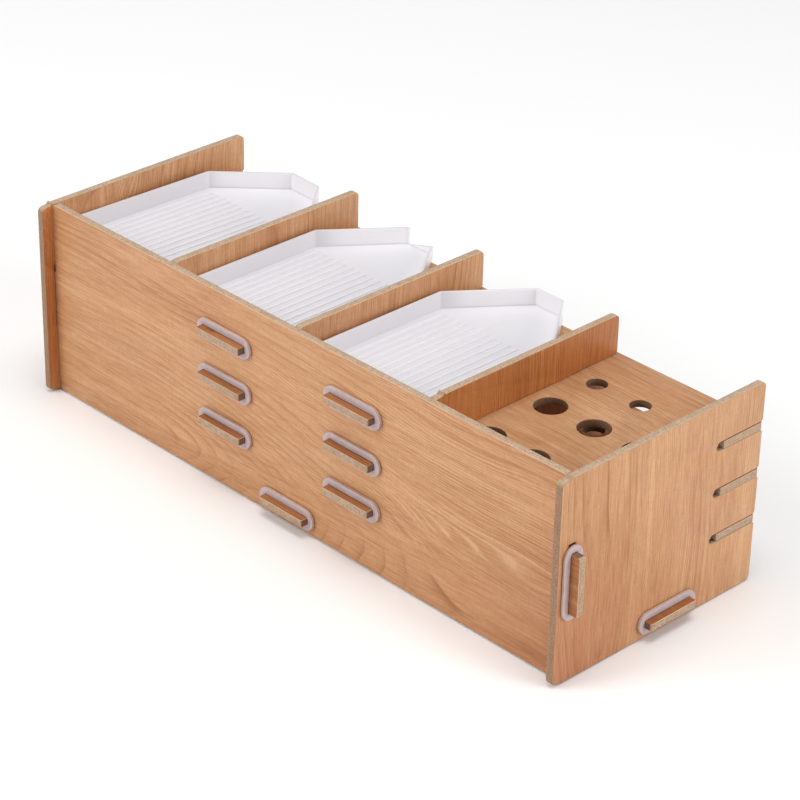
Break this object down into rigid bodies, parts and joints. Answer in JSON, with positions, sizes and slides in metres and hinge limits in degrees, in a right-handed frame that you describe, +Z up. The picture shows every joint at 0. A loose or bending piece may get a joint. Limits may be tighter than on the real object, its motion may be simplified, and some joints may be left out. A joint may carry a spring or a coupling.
{
  "type": "desktop tray sorter",
  "caption": "Slotted wood-effect board desktop sorter with open shelves, a rack of tool holes and white boat-shaped trays, held by tabs and elastic rings",
  "frame": {"origin": "centre of the bounding box in X and Y, at the level of the desk it stands on", "axes": "+X along the length, away from the bay with the tool holes; +Y towards the closed back panel; +Z up; trays slide out towards -Y"},
  "size_m": [0.3682, 0.135, 0.1045],
  "materials": {
    "board": "satin wood-effect laminate on both faces of fibreboard, bare brown core on the cut edges",
    "ring": "soft translucent pinkish-grey silicone, satin",
    "tray": "thin moulded white plastic, slightly translucent, soft gloss"
  },
  "bodies": {
    "frame": {"end_panel_tool": "board", "end_panel_far": "board", "back_panel": "board", "base_board": "board", "divider_1": "board", "divider_2": "board", "divider_3": "board", "shelf_top": "board", "shelf_middle": "board", "shelf_bottom": "board", "ring_back_top_far": "ring", "ring_back_top_near": "ring", "ring_back_middle_far": "ring", "ring_back_middle_near": "ring", "ring_back_bottom_far": "ring", "ring_back_bottom_near": "ring", "ring_back_base": "ring", "ring_tool_upright": "ring", "ring_tool_base": "ring", "ring_far_upright": "ring", "ring_far_base": "ring"},
    "tray_near": {"tray_near": "tray"},
    "tray_middle": {"tray_middle": "tray"},
    "tray_far": {"tray_far": "tray"}
  },
  "joints": [
    {"name": "tray_near_slide", "type": "slide", "parent": "frame", "child": "tray_near", "axis": [0, -1, 0], "range_m": [0, 0.06]},
    {"name": "tray_middle_slide", "type": "slide", "parent": "frame", "child": "tray_middle", "axis": [0, -1, 0], "range_m": [0, 0.06]},
    {"name": "tray_far_slide", "type": "slide", "parent": "frame", "child": "tray_far", "axis": [0, -1, 0], "range_m": [0, 0.06]}
  ]
}
